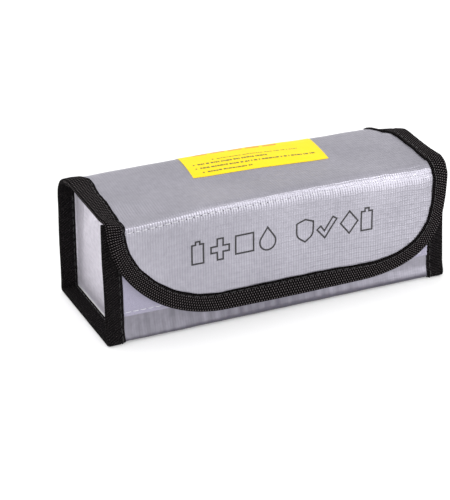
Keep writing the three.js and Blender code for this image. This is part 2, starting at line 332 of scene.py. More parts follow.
def grid_faces(rows, cols, start=0):
    r, c = np.meshgrid(np.arange(rows - 1), np.arange(cols - 1), indexing="ij")
    a = start + (r * cols + c).ravel()
    return joined(a, a + 1, a + cols + 1, a + cols)


def border(rows, cols):
    """Indices round the edge of a grid, in order."""
    top = np.arange(cols)
    right = np.arange(1, rows) * cols + cols - 1
    bottom = np.arange(cols - 2, -1, -1) + (rows - 1) * cols
    left = np.arange(rows - 2, 0, -1) * cols
    return np.concatenate([top, right, bottom, left])


def slab(name, outer, inner, uv, material):
    """A thin closed piece between two grids of points with the same layout."""
    rows, cols = outer.shape[:2]
    count = rows * cols
    edge = border(rows, cols)
    following = np.roll(edge, -1)
    faces = np.concatenate([
        grid_faces(rows, cols),
        grid_faces(rows, cols, count)[:, ::-1],
        joined(edge, edge + count, following + count, following),
    ])
    uv = np.concatenate([uv.reshape(-1, 2)] * 2)
    points = np.concatenate([outer.reshape(-1, 3), inner.reshape(-1, 3)])
    return make_piece(name, points, faces, material, uv[faces].reshape(-1, 2))


def skin_slab(name, x, q, layer, material):
    """A slab between two depths below the outside of the bag."""
    return slab(name, skin(x, q, layer[0]), skin(x, q, layer[1]), joined(x, q), material)


def rectangle(left, right, cols, bottom, top, rows):
    """The two coordinates of a flat grid of points."""
    across = np.linspace(left, right, cols)[None, :]
    up = np.linspace(bottom, top, rows)[:, None]
    return np.broadcast_arrays(across, up)


def spread(start, end, rows):
    """Rows that run from one line of values to another."""
    return start + (end - start) * np.linspace(0, 1, rows)[:, None]


def tube_faces(tubes, rings, size):
    """Faces of closed tubes, each with its points ring by ring and a flat cap at each end."""
    faces = []
    for first in range(0, tubes * rings * size, rings * size):
        for start in range(first, first + (rings - 1) * size, size):
            for c in range(size):
                a, b = start + c, start + (c + 1) % size
                faces.append([a, b, b + size, a + size])
        last = first + (rings - 1) * size
        faces.append(list(range(first + size - 1, first - 1, -1)))
        faces.append(list(range(last, last + size)))
    return faces


def sweep(name, rings, around, along, material):
    """One tube through rings of points, with the cloth's coordinates on its sides."""
    count, size = rings.shape[:2]
    r, c = (grid.ravel() for grid in np.meshgrid(np.arange(count - 1), np.arange(size), indexing="ij"))
    around = np.append(around, around[-1] + (around[-1] - around[-2]))
    sides = np.stack([
        joined(along[r], around[c]),
        joined(along[r], around[c + 1]),
        joined(along[r + 1], around[c + 1]),
        joined(along[r + 1], around[c]),
    ], axis=1).reshape(-1, 2)
    uv = np.concatenate([sides, np.zeros((2 * size, 2))])
    return make_piece(name, rings.reshape(-1, 3), tube_faces(1, count, size), material, uv, 60)


# ---------- folded tape


def tape_profile(leg_out, leg_in):
    """The tape's section round an edge: distance in from the edge, depth, and length round it."""
    half = TAPE_THICKNESS / 2
    top, bottom = TAPE_OUT[0] + half, TAPE_IN[1] - half
    bend = (bottom - top) / 2
    turn = np.linspace(-math.pi / 2, math.pi / 2, 9)
    out_leg = [(leg_out, top + 0.42), (leg_out - 0.6, top + 0.3), (leg_out - 1.5, top + 0.12),
               (leg_out - 3, top), (leg_out / 2, top - 0.03)]
    fold = [(half + bend - bend * math.cos(t), TAPE_MIDDLE + bend * math.sin(t)) for t in turn]
    in_leg = [(leg_in / 2, bottom), (leg_in - 3, bottom), (leg_in - 1.5, bottom - 0.1),
              (leg_in - 0.6, bottom - 0.25), (leg_in, bottom - 0.32)]
    line = np.array(out_leg + fold + in_leg)
    tangent = np.gradient(line, axis=0)
    tangent /= norm(tangent, axis=1, keepdims=True)
    normal = joined(tangent[:, 1], -tangent[:, 0])
    loop = np.concatenate([line - half * normal, (line + half * normal)[::-1]])
    return loop, run_along(loop)


def tape(name, edge, inward, leg_out, leg_in, material, lift_by=0.0, phase=0.0):
    """Tape folded round an edge. edge and inward are (x, q) along it. leg_out and leg_in, the widths
    of the tape outside and inside, and lift_by, its rise off the surface, may vary along it."""
    length = run_along(edge)
    leg_out, leg_in, lift_by = (np.broadcast_to(v, length.shape)[:, None] for v in (leg_out, leg_in, lift_by))
    wide_out, wide_in = float(leg_out.max()), float(leg_in.max())
    loop, around = tape_profile(wide_out, wide_in)
    reach = loop[:, 0][None, :]
    outside = loop[:, 1][None, :] < TAPE_MIDDLE
    waver = 0.14 * np.sin(length / 9.3 + phase) + 0.12 * np.sin(length / 2.3 + 2 * phase)
    share = np.where(outside, (leg_out + waver[:, None]) / wide_out, leg_in / wide_in)
    reach = np.where(reach > 2, 2 + (reach - 2) * share, reach)
    depth = TAPE_MIDDLE + (loop[:, 1][None, :] - TAPE_MIDDLE) * (1 + lift_by / TAPE_MIDDLE)
    reach = reach - lift_by * (1 - np.clip(reach / leg_out, 0, 1))
    x = edge[:, :1] + inward[:, :1] * reach
    q = edge[:, 1:] + inward[:, 1:] * reach
    return sweep(name, skin(x, q, depth), around, length + phase * 7, material)


def end_edge(side, q_start, q_end, out=0.0, step=1.6):
    """The edge at one end of the bag, between two runs, and its inward direction."""
    count = max(2, int(abs(q_end - q_start) / step) + 1)
    q = np.linspace(q_start, q_end, count)
    edge = joined(np.full(count, side * (HALF + out)), q)
    return edge, joined(np.full(count, -side), np.zeros(count)).astype(float)


# ---------- stitches

STITCH_PITCH = 3.9
STITCH_LENGTH = 3.0
STITCH_RADIUS = 0.19
STITCH_SIDES = 6
STITCH_RINGS = 6
THREAD_RISE = 0.28  # how far the middle of a stitch stands above its ends


def stitch_starts(line):
    """Where each stitch of a row begins, as a distance along it."""
    starts = np.arange(0.5, run_along(line)[-1] - STITCH_LENGTH, STITCH_PITCH)
    return starts + 0.15 * np.sin(starts * 1.7)


def stitches(name, line, depth, material, facing=1):
    """A row of separate stitches along a line of (x, q), on the outside (facing 1) or the inside (-1)."""
    run = run_along(line)
    starts = stitch_starts(line)
    share = np.linspace(0, 1, STITCH_RINGS)
    at = starts[:, None] + share[None, :] * STITCH_LENGTH
    x, q = np.interp(at, run, line[:, 0]), np.interp(at, run, line[:, 1])
    rise = THREAD_RISE * (np.sin(math.pi * share) - 0.5)
    centre = skin(x, q, depth - facing * rise)
    ahead = np.gradient(centre, axis=1)
    ahead /= norm(ahead, axis=-1, keepdims=True)
    up = skin(x, q, 0.0) - skin(x, q, 1.0)
    across = np.cross(ahead, up)
    across /= norm(across, axis=-1, keepdims=True)
    up = np.cross(across, ahead)
    angle = ring(STITCH_SIDES)
    radius = (STITCH_RADIUS * np.sqrt(np.sin(math.pi * np.clip(share, 0.08, 0.92))))[None, :, None, None]
    round_it = np.cos(angle)[:, None] * across[:, :, None, :] + np.sin(angle)[:, None] * up[:, :, None, :]
    points = (centre[:, :, None, :] + radius * round_it).reshape(-1, 3)
    return make_piece(name, points, tube_faces(len(starts), len(share), STITCH_SIDES), material)


# ---------- materials


def node(tree, kind, **settings):
    made = tree.nodes.new("ShaderNode" + kind)
    for key, value in settings.items():
        if key in made.inputs:
            made.inputs[key].default_value = value
        else:
            setattr(made, key, value)
    return made


class Surface:
    """A new material, with short names for the nodes that cloth, tape and print are made of."""

    def __init__(self, name):
        self.material = bpy.data.materials.new(name)
        self.material.use_nodes = True
        self.tree = self.material.node_tree
        self.inputs = self.tree.nodes["Principled BSDF"].inputs

    def put(self, value, socket):
        """Gives a socket a value, or the output of another node."""
        if isinstance(value, bpy.types.NodeSocket):
            self.tree.links.new(value, socket)
        else:
            socket.default_value = value

    def set(self, name, value):
        self.put(value, self.inputs[name])

    def calculate(self, operation, *values):
        made = node(self.tree, "Math", operation=operation)
        for value, socket in zip(values, made.inputs):
            self.put(value, socket)
        return made.outputs[0]

    def plus(self, a, b):
        return self.calculate("ADD", a, b)

    def times(self, a, b):
        return self.calculate("MULTIPLY", a, b)

    def times_plus(self, a, b, c):
        return self.calculate("MULTIPLY_ADD", a, b, c)

    def weave_place(self):
        """The place on the cloth in millimetres: as a vector, along the bag, and along the run."""
        uv = node(self.tree, "UVMap", uv_map="weave")
        split = node(self.tree, "SeparateXYZ")
        self.put(uv.outputs[0], split.inputs[0])
        return uv.outputs[0], split.outputs[0], split.outputs[1]

    def noise(self, vector, scale, detail=3.0):
        made = node(self.tree, "TexNoise", Scale=scale, Detail=detail)
        self.put(vector, made.inputs["Vector"])
        return made.outputs[0]

    def ridge(self, value, pitch):
        """Rounded ribs, 0 to 1, one every pitch."""
        return self.calculate("ABSOLUTE", self.calculate("SINE", self.times(value, math.pi / pitch)))

    def wave(self, value, pitch):
        """A sine wave, -1 to 1, one every pitch."""
        return self.calculate("SINE", self.times(value, 2 * math.pi / pitch))

    def ramp(self, value, start, end, low=0.0, high=1.0):
        """Goes from low to high while value goes from start to end."""
        limits = {"From Min": start, "From Max": end, "To Min": low, "To Max": high}
        made = node(self.tree, "MapRange", **limits)
        self.put(value, made.inputs["Value"])
        return made.outputs[0]

    def mix(self, share, first, second):
        made = node(self.tree, "Mix", data_type="RGBA")
        self.put(share, made.inputs["Factor"])
        made.inputs["A"].default_value = (*first, 1)
        made.inputs["B"].default_value = (*second, 1)
        return made.outputs["Result"]

    def bump(self, height, distance):
        made = node(self.tree, "Bump", Distance=distance * MM, Strength=1.0)
        self.put(height, made.inputs["Height"])
        self.set("Normal", made.outputs[0])


RIB_PITCH = 1.35
TAPE_PITCH = 1.386
BAND_START = float(run_of_bottom(0.0, WALL_FRONT + 4))  # the smoother cloth of the foot starts here
FOOT = float(run_of_wall_front(0.0, 1.4))
# The tone that the painted shade and dark reflections on the foot band darken the cloth towards.
PAINTED_SHADE_TONE = (0.34, 0.33, 0.36, 1)


def ribbed_weave(made, vector, u, v):
    """Wandering ribs along the run, and coarser, patchy ones across, stronger towards the right."""
    wander = made.times(made.noise(vector, 0.05), 0.5)
    ribs = made.wave(made.plus(u, wander), RIB_PITCH)
    stagger = made.times(made.noise(vector, 0.11), 2.4)
    across = made.plus(v, stagger)
    picks = made.plus(made.wave(across, RIB_PITCH), made.wave(across, 2 * RIB_PITCH))
    patchy = made.times(made.noise(vector, 0.16), made.times_plus(u, 0.0040, 0.42))
    return made.times_plus(picks, patchy, made.times(ribs, 0.6))


def foot_band(made, v):
    """1 on the smoother band at the foot of the front wall, and 0 away from it."""
    below = made.ramp(v, BAND_START - 3.0, BAND_START + 1.0)
    above = made.ramp(v, FOOT + 14, FOOT + 24, 1.0, 0.0)
    return made.times(below, above)


def dark_reflection_streaks(made, u, v, in_band):
    """Upright streaks on the band, fainter towards the right: painted dark reflections in the colour, fading
    where the band is lit more brightly, and a crinkle in the bump.
    """
    stretched = node(made.tree, "CombineXYZ")
    made.put(u, stretched.inputs["X"])
    made.put(made.times(v, 0.12), stretched.inputs["Y"])
    streak = made.noise(stretched.outputs[0], 0.30)
    return made.times(made.times(streak, made.ramp(u, 8.0, 92.0, 1.0, 0.15)), in_band)


def silver_material(name, dark, light, metallic):
    """Satin silver coating over ribbed glass cloth."""
    made = Surface(name)
    vector, u, v = made.weave_place()
    weave = ribbed_weave(made, vector, u, v)
    in_band = foot_band(made, v)
    weave = made.times(weave, made.times_plus(in_band, -0.75, 1.0))
    mottle = made.noise(vector, 0.35, 4.0)
    height = made.times_plus(mottle, 0.8, weave)
    cloud = made.times_plus(made.noise(vector, 0.028, 2.0), 1.1, -0.55)
    # The weave's share of the colour paints the ribs' light and shade: grooves darker, ribs lighter, and the
    # picks stronger towards the right, where the light falls across them. The ribs themselves are real, and
    # are also in the bump.
    shade = made.times_plus(weave, 0.2, made.plus(mottle, cloud))
    cloth = made.mix(shade, dark, light)
    # Painted dark reflections: upright streaks on the foot band, multiplied into the colour below.
    painted_streaks = dark_reflection_streaks(made, u, v, in_band)
    # Painted shade: a dark line along the foot where it meets the floor, and the band darker from the middle
    # to the right.
    painted_foot_shadow = made.ramp(v, FOOT, FOOT + 2.6, 0.7, 0.0)
    painted_band_shade = made.ramp(u, -70.0, -20.0, 0.0, 0.28)
    painted_foot_shade = made.times(made.plus(painted_foot_shadow, painted_band_shade), in_band)
    darker = node(made.tree, "Mix", data_type="RGBA", blend_type="MULTIPLY")
    made.put(made.times_plus(painted_streaks, 0.95, painted_foot_shade), darker.inputs["Factor"])
    made.put(cloth, darker.inputs["A"])
    made.put(PAINTED_SHADE_TONE, darker.inputs["B"])
    made.set("Base Color", darker.outputs["Result"])
    height = made.plus(height, made.times(painted_streaks, 1.6))
    made.set("Roughness", made.plus(0.32, made.times(made.noise(vector, 0.12), 0.14)))
    made.set("Metallic", metallic)
    made.bump(height, 0.075)
    return made.material


def lining_material():
    made = Surface("lining_cloth")
    vector, u, v = made.weave_place()
    weave = made.times(made.ridge(u, 0.8), made.ridge(v, 0.8))
    cloud = made.times(made.noise(vector, 0.2), 0.5)
    shade = made.plus(made.times(weave, 0.6), cloud)
    made.set("Base Color", made.mix(shade, (0.42, 0.42, 0.43), (0.66, 0.66, 0.67)))
    made.set("Roughness", 0.6)
    made.set("Metallic", 0.15)
    made.bump(weave, 0.08)
    return made.material


def tape_material(name, twill):
    """Black woven tape, plain with staggered rows of painted glints where its threads cross, or twill with
    slanting ribs and specks whose paler tones are painted glints.
    """
    made = Surface(name)
    vector, u, v = made.weave_place()
    fibre = made.noise(vector, 2.4, 2.0)
    if twill:
        slant = made.times_plus(v, 0.58, u)
        cells = made.times_plus(made.wave(slant, TAPE_PITCH), 0.5, 0.5)
        speck = made.calculate("MAXIMUM", made.plus(fibre, -0.58), 0.0)
        glint = made.times_plus(speck, 2.0, made.times(cells, 0.05))
    else:
        dots = made.times(made.wave(u, TAPE_PITCH), made.wave(v, 3.0))
        cells = made.calculate("POWER", made.calculate("MAXIMUM", dots, 0.0), 2.2)
        glint = made.times(cells, made.ramp(v, 0.5, 2.2))
    shade = made.times(glint, made.times_plus(fibre, 2.2, -0.4))
    # The paler tone is painted glint on the black threads.
    made.set("Base Color", made.mix(shade, (0.0010, 0.0008, 0.0010), (0.23, 0.205, 0.21)))
    made.set("Roughness", 0.9)
    made.set("Specular IOR Level", 0.02)
    made.bump(made.plus(cells, made.times(fibre, 0.3)), 0.25)
    return made.material


def thread_material(name, color, roughness):
    made = Surface(name)
    place = node(made.tree, "TexCoord")
    twist = made.noise(place.outputs["Object"], 2500, 1.0)
    made.set("Base Color", made.mix(twist, tuple(0.7 * c for c in color), color))
    made.set("Roughness", roughness)
    made.bump(twist, 0.05)
    return made.material


def clouded(name, scale, detail, dark, light, roughness):
    """A material whose colour drifts between two tones: it, the place on it, and the drift."""
    made = Surface(name)
    vector, _, _ = made.weave_place()
    cloud = made.noise(vector, scale, detail)
    made.set("Base Color", made.mix(cloud, dark, light))
    made.set("Roughness", roughness)
    return made, vector, cloud


def pile_material(name, color, scale):
    made, _, fuzz = clouded(name, scale, 3.0, tuple(0.62 * c for c in color), color, 0.95)
    made.set("Sheen Weight", 0.3)
    made.set("Sheen Roughness", 0.6)
    made.bump(fuzz, 0.25)
    return made.material


def label_material():
    made, vector, _ = clouded("label_film", 0.08, 2.0, (0.83, 0.585, 0.004), (0.89, 0.67, 0.008), 0.5)
    made.set("Specular IOR Level", 0.22)
    made.bump(made.noise(vector, 0.8, 2.0), 0.04)
    return made.material


def ink_material(name, color):
    return clouded(name, 1.5, 2.0, color, tuple(1.6 * c for c in color), 0.5)[0].material


SILVER = silver_material("silver_cloth", (0.285, 0.277, 0.318), (0.405, 0.392, 0.446), 0.8)
# The end panels get a lighter, less metallic copy of the same silver cloth: painted light, for the light that
# falls on the ends.
END_SILVER_PAINTED_LIGHTER = silver_material("silver_end_cloth", (0.42, 0.40, 0.455), (0.68, 0.645, 0.72), 0.35)
LINER = lining_material()
TAPE = tape_material("binding_tape", twill=False)
TWILL = tape_material("binding_twill", twill=True)
BLACK_THREAD = thread_material("black_thread", (0.02, 0.019, 0.02), 0.45)
GREY_THREAD = thread_material("grey_thread", (0.72, 0.72, 0.76), 0.4)
LOOP = pile_material("loop_pile", (0.36, 0.34, 0.45), 2.6)
HOOK = pile_material("hook_tape", (0.85, 0.85, 0.88), 0.9)
LABEL = label_material()
INK = ink_material("label_ink", (0.10, 0.085, 0.012))
RED_INK = ink_material("label_red_ink", (0.55, 0.16, 0.03))
FLAP_INK = ink_material("flap_ink", (0.010, 0.009, 0.011))

# ---------- how pieces move


def belongs(obj, body, replaces=()):
    """Puts a finished piece on its body (shell, lid or flap) and hides the parts it replaces; a piece over
    one of the two folds is only baked where it stands, on no body.
    """
    if body == "rear_fold":
        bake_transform(obj)
    elif body == "front_fold":
        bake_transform(obj)
    else:
        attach(obj, body)
    if replaces:
        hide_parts(*replaces)


# ---------- the flap's outline

LID_OUT = {"left": 0.0, "right": 0.6}  # the lid's ends stand this far past the fins
LEFT_CORNER = {
    "side": -1, "half": HALF - 1.2, "width": 60.0, "power": 1.95, "top": 62.0, "lid": HALF + LID_OUT["left"],
}
RIGHT_CORNER = {
    "side": 1, "half": HALF + 0.5, "width": 55.5, "power": 2.63, "top": 55.5, "lid": HALF + LID_OUT["right"],
}
FLAP_EDGE = FLAP_LOW + 1.2


def corner_line(corner, count=160):
    """Points (x, z) on a flap corner, from its top down, and the inward direction at each."""
    angle = np.linspace(0, math.pi / 2, count)
    power, width, drop = corner["power"], corner["width"], corner["top"] - FLAP_EDGE
    across = np.cos(angle) ** (2 / power)
    down = np.sin(angle) ** (2 / power)
    point = joined(
        corner["side"] * (corner["half"] - width * (1 - across)),
        corner["top"] - drop * down,
    )
    inward = joined(
        -corner["side"] * across ** (power - 1) / width,
        down ** (power - 1) / drop,
    )
    return point, inward / norm(inward, axis=1, keepdims=True)


def resampled(edge, inward, step):
    run = run_along(edge)
    at = np.linspace(0, run[-1], int(run[-1] / step) + 1)
    edge = joined(*(np.interp(at, run, edge[:, k]) for k in range(2)))
    inward = joined(*(np.interp(at, run, inward[:, k]) for k in range(2)))
    return edge, inward / norm(inward, axis=1, keepdims=True)


def flap_edge():
    """The flap's edge as (x, q), from the lid at the left end round to the lid at the right."""
    ends = []
    for corner in (LEFT_CORNER, RIGHT_CORNER):
        side = corner["side"]
        point, inward = corner_line(corner)
        q_top = run_of_flap(side * HALF, corner["top"])
        q_lid = run_of_lid(side * HALF, FRONT + FOLD_BAND)
        q = np.linspace(q_lid, q_top, 30)[:-1]
        x = side * (corner["half"] + (corner["lid"] - corner["half"]) * smooth((q - q_top) / (q_lid - q_top)))
        over = joined(x, q)
        turned = joined(np.full_like(q, -side), np.zeros_like(q))
        face = joined(point[:, 0], run_of_flap(point[:, 0], point[:, 1]))
        ends.append((np.concatenate([over, face]), np.concatenate([turned, inward])))
    (left, left_in), (right, right_in) = ends
    edge = np.concatenate([left, right[::-1]])
    inward = np.concatenate([left_in, right_in[::-1]])
    return resampled(edge, inward, 1.5)


def flap_limit(corner, z, inset):
    """x of the flap's edge at a height, moved inwards."""
    drop = corner["top"] - FLAP_EDGE - inset
    below = np.clip((corner["top"] - z) / drop, 0, 1)
    across = (1 - below ** corner["power"]) ** (1 / corner["power"])
    return corner["side"] * (corner["half"] - inset - corner["width"] * (1 - across))


# ---------- cloth and lining

COLUMNS = 127
columns = np.linspace(-1, 1, COLUMNS)[None, :]


def strip(q_start, q_end, half_length, rows):
    """A grid over the full length, between two runs that are functions of x."""
    x = np.broadcast_to(columns * half_length, (rows, COLUMNS))
    return x, spread(q_start(x[0]), q_end(x[0]), rows)


def shade_as_one(obj, x, q, depth, rows):
    """Gives some rows of a slab the surface's own normals, so that pieces shade as one across a seam."""
    wanted = np.zeros((len(obj.data.vertices), 3))
    for row in rows:
        first = (row % x.shape[0]) * COLUMNS
        wanted[first : first + COLUMNS] = skin_normal(x[row], q[row], depth)
    obj.data.normals_split_custom_set_from_vertices(wanted.tolist())


def at_rear_seam(x):
    return run_of_back(x, REAR_Z)


def at_front_seam(x):
    return run_of_lid(x, FRONT + FOLD_BAND)


def at_rim(x):
    return run_of_wall_front(x, RIM_TOP - 0.6)


def flap_grid(inset, rows_over=9, rows_down=46):
    """The flap's cloth as a grid of x and q, from the lid over the fold and down to its edge."""
    falls = np.sin(np.linspace(0, math.pi / 2, rows_down))[:, None]
    top = RIGHT_CORNER["top"]
    z = top - (top - FLAP_EDGE - inset) * falls
    left = flap_limit(LEFT_CORNER, z, inset)
    right = flap_limit(RIGHT_CORNER, z, inset)
    x = left + (right - left) * (columns + 1) / 2
    q = run_of_flap(x, z)
    x_lid = columns * (HALF - inset)
    weight = np.linspace(0, 1, rows_over + 1)[:-1, None]
    x_over = x_lid + (x[:1] - x_lid) * smooth(weight)
    q_over = at_front_seam(x_lid) + (q[:1] - at_front_seam(x_lid)) * weight
    return np.concatenate([x_over, x]), np.concatenate([q_over, q])


def panels(names, layer, material, stands_for, shell_half, shell_rows, lid_rows):
    """One layer of the bag in three sheets: the shell's, the lid's and the flap's."""
    shell_strip = strip(at_rear_seam, at_rim, shell_half, shell_rows)
    lid_strip = strip(at_rear_seam, at_front_seam, CLOTH_END, lid_rows)
    sheets = ((shell_strip, "shell", "folded"), (lid_strip, "rear_fold", "stretched"),
              (flap_grid(CLOTH_INSET), "front_fold", "hung"))
    made = []
    for name, ((x, q), body, held), replaced in zip(names, sheets, stands_for):
        sheet = skin_slab(name, x, q, layer, material)
        belongs(sheet, body, replaced)
        made.append((sheet, x, q))
    return made


def cloth_pieces():
    names = ("shell_cloth", "lid_cloth", "flap_cloth")
    stands_for = (["wall_front", "wall_bottom", "wall_back"], ["lid_panel"], ["flap_panel"])
    made = panels(names, CLOTH, SILVER, stands_for, CLOTH_END, shell_rows=112, lid_rows=48)
    for (sheet, x, q), seam_rows in zip(made, ([0], [0, -1], [0])):
        shade_as_one(sheet, x, q, CLOTH[0], seam_rows)


def lining_pieces():
    names = ("shell_lining", "lid_inner_cloth", "flap_inner_cloth")
    stands_for = (["lining_front", "lining_bottom", "lining_back"], ["lid_lining"], ["flap_lining"])
    panels(names, LINING, LINER, stands_for, PANEL_X - 0.9, shell_rows=60, lid_rows=36)


# ---------- end panels

END_TOP = high("end_panel_left")[2] - 0.6
FLARE = 1.8  # radius of the turn from an end panel into its fins


def end_limits(z, depth):
    """y of the front and back edges of an end panel at each height, under the walls' depth."""
    base = BASE_RADIUS
    inner = base - depth
    below = np.sqrt(np.clip(inner**2 - np.square(np.minimum(z - base, 0)), 0, None))
    corner = np.where(z < base, base - below, depth)
    back = BACK - corner
    arc = REAR_RADIUS - depth
    rear = REAR_Y + np.sqrt(np.clip(arc**2 - np.square(np.maximum(z - REAR_Z, 0)), 0, None))
    back = np.where(z > REAR_Z, rear, back)
    fold = 9.5
    bend = fold - TAPE_IN[1] - 0.5
    centre_z = HEIGHT - fold
    front_arc = FRONT + fold - np.sqrt(np.clip(bend**2 - np.square(np.maximum(z - centre_z, 0)), 0, None))
    front = WALL_FRONT - lean(z) + corner
    return np.where(z > centre_z, np.maximum(front, front_arc), front), back


def end_face(side, y, z, low_z):
    """How far the panel stands out at each point: a soft bulge, creases, and its turned edges."""
    front, back = end_limits(z, LINING[0])
    middle, half = (front + back) / 2, (back - front) / 2
    bulge = 1.1 * hump((y - middle) / half) * hump((z - 30) / 32)
    creases = 0.22 * np.sin(y / 3.3 + z / 9.0 + side) * hump((z - 34) / 30)
    creases += 0.50 * bell((y - 17 + 0.12 * (z - 50)) / 2.0) * smooth((z - 20) / 30)
    creases -= 0.75 * bell((y + 0.7 * (z - 58)) / 2.4) * smooth((z - 36) / 14)
    to_edge = np.minimum(np.minimum(y - front, back - y), z - low_z)
    within = np.clip(FLARE - to_edge, 0, FLARE)
    flare = FLARE - np.sqrt(np.clip(FLARE**2 - within**2, 0, None))
    calm = smooth(to_edge / 6)
    return (bulge + creases) * calm + flare


def end_grid(depth, rows=52, cols=52):
    rise = (1 - np.cos(np.linspace(0, math.pi / 2, rows))) * 0.35 + np.linspace(0, 1, rows) * 0.65
    z = depth + (END_TOP - depth) * rise[:, None]
    front, back = end_limits(z, depth)
    ease = 0.5 - 0.5 * np.cos(np.linspace(0, math.pi, cols))
    ease = 0.5 * ease + 0.5 * np.linspace(0, 1, cols)
    y = front + (back - front) * ease[None, :]
    return y, np.broadcast_to(z, y.shape)


def end_slab(name, side, depth, offset, thickness, material, flared=1.0):
    y, z = end_grid(depth)
    out = end_face(side, y, z, depth) * flared + offset
    outer = joined(side * (PANEL_X + out), y, z)
    inner = outer - np.array([side * thickness, 0, 0])
    return slab(name, outer, inner, joined(y, z), material)


def end_hem(side, end):
    """The end panel's top edge, folded out and down."""
    cols, height, roll = 60, 5.5, 0.55
    y = np.linspace(FRONT + 9.5, REAR_Y + 3, cols)
    profile = [(0.45, 0.0), (0.55, height * 0.5), (0.5, height - roll), (0.25, height - 0.12),
               (0.0, height), (-0.3, height - 0.1), (-0.5, height - 0.5), (-0.45, height - 1.2),
               (-0.1, height - 1.2), (0.05, height - 0.8), (0.1, height * 0.5), (0.1, 0.0)]
    rings = []
    for at in y:
        droop = 0.35 * math.sin(at / 3.7 + side) + 0.5 * float(hump(at / 25))
        face = float(end_face(side, np.array([at]), np.array([END_TOP - 6.0]), LINING[0])[0])
        stand = PANEL_X + face * 0.9 + 0.35
        rings.append([
            (side * (stand + out), at, END_TOP - height + up - droop * (1 - up / height) + 0.2)
            for out, up in profile
        ])
    around = np.arange(len(profile)) * 1.0
    return sweep(f"end_hem_{end}", np.array(rings), around, y, END_SILVER_PAINTED_LIGHTER)


def end_tab(side, end):
    """The corner of the end panel's turned-in top that pokes out under the lid."""
    across = np.linspace(0, 1, 9)[None, :]
    down = np.linspace(0, 1, 7)[:, None]
    y = -1.5 - 10.0 * across - 2.0 * down * (0.5 - across)
    z = END_TOP + 0.5 - (6.6 - 2.6 * across) * down
    out = 2.0 + 1.6 * down + 0.35 * np.sin(across * 5 + down * 3)
    outer = joined(side * (PANEL_X + out), y + 0 * out, z + 0 * out)
    inner = outer - np.array([side * 0.35, 0, 0])
    tab = slab(f"end_tab_{end}", outer, inner, outer[..., 1:], END_SILVER_PAINTED_LIGHTER)
    belongs(tab, "shell")


def end_pieces():
    for side, end in ENDS:
        panel = end_slab(f"end_cloth_{end}", side, LINING[0], 0.0, 0.35, END_SILVER_PAINTED_LIGHTER)
        belongs(panel, "shell", [f"end_panel_{end}"])
        q_top = float(run_of_wall_front(side * HALF, FIN_TOPS[end] - 1.5))
        q_rear = float(run_of_back(side * HALF, REAR_Z)) - quarter(REAR_RADIUS) / 2
        x = np.linspace(PANEL_X + FLARE, CLOTH_END, 6)[None, :] * side
        q = np.linspace(q_rear, q_top, 110)[:, None]
        x, q = np.broadcast_arrays(x, q)
        flange = skin_slab(f"end_flange_{end}", x, q, LINING, END_SILVER_PAINTED_LIGHTER)
        belongs(flange, "shell")
        belongs(end_hem(side, end), "shell")
        end_tab(side, end)
        liner = end_slab(f"end_liner_{end}", side, LINING[1] + 0.3, -0.6, 0.35, LINER, 0.85)
        belongs(liner, "shell", [f"lining_{end}"])


# ---------- binding tape

FIN_LEG = HALF + EDGE_OUT - PANEL_X
FIN_INNER_LEG = 8.6
FIN_TOPS = {"left": 61.2, "right": 57.0}  # the front fins reach up under the fold
LID_LEGS = {"left": 10.8, "right": 7.6}
FLAP_LEG = 9.9
FLAP_LEG_SIDES = {"left": 8.8, "right": 7.8}
LID_INNER_LEG = 9.5
RIM_LEG = 9.0
OVERLAP_Y = 21.0  # the lid's tape starts here, over the end of the fin's tape


def row_on(edge, inward, reach):
    return edge + inward * np.broadcast_to(reach, edge.shape[:1])[:, None]


def flap_leg(edge):
    """Width of the flap's tape along its edge: wide along the foot, narrow up the sides."""
    x, q = edge.T
    side = np.where(x < 0, FLAP_LEG_SIDES["left"], FLAP_LEG_SIDES["right"])
    face = FLAP_LEG + (side - FLAP_LEG) * smooth((np.abs(x) - 20) / 45)
    on_lid = np.where(x < 0, LID_LEGS["left"], LID_LEGS["right"])
    return face + (on_lid - face) * smooth((q + 3) / 9)


def lid_leg(end, q):
    """Width of the lid's tape along its run: it widens towards the rear fold."""
    from_ridge = q - float(run_of_lid(HALF, 25.0))
    if end == "left":
        return LID_LEGS[end] + 1.6 * smooth((from_ridge + 20) / 12) - 5.2 * bell((from_ridge - 1) / 5)
    return LID_LEGS[end] + 8.5 * bell(from_ridge / 5)


def tape_stitches(piece, end, edge, inward, reach_out, reach_in, body, replaced):
    """The stitches through a tape: a row that shows outside, and one inside."""
    tail = f"_{end}" if end else ""
    outer = stitches(f"{piece}_stitches{tail}", row_on(edge, inward, reach_out), OUTER_THREAD, BLACK_THREAD)
    belongs(outer, body, [replaced])
    row = row_on(edge, inward, reach_in)
    inner = stitches(f"{piece}_stitches_inside{tail}", row, INNER_THREAD, BLACK_THREAD, -1)
    belongs(inner, body)


def fin_tape(side, end, q_seam):
    """Tape round a fin: up the back, under the bottom and up the front."""
    q_top = float(run_of_wall_front(side * HALF, FIN_TOPS[end]))
    edge, inward = end_edge(side, q_seam, q_top, EDGE_OUT)
    fin = tape(f"fin_tape_{end}", edge, inward, FIN_LEG, FIN_INNER_LEG, TWILL, phase=side)
    belongs(fin, "shell", [f"binding_{end}_{part}" for part in ("front", "bottom", "back")])
    tape_stitches("fin", end, edge, inward, FIN_LEG - 1.5, FIN_INNER_LEG - 1.2, "shell", f"thread_end_{end}")


def corner_tape(side, end, q_seam):
    """The fin's tape where it runs on over the rear fold and under the lid's tape."""
    q_over = float(run_of_lid(side * HALF, OVERLAP_Y - 4))
    edge, inward = end_edge(side, q_over, q_seam, EDGE_OUT)
    at_ridge = bell((edge[:, 1] - float(run_of_lid(HALF, 25.5))) / 5)
    leg = FIN_LEG + at_ridge * (-2.2 if end == "left" else 8.0)
    corner = tape(f"corner_tape_{end}", edge, inward, leg, FIN_INNER_LEG, TWILL, phase=side)
    belongs(corner, "rear_fold")


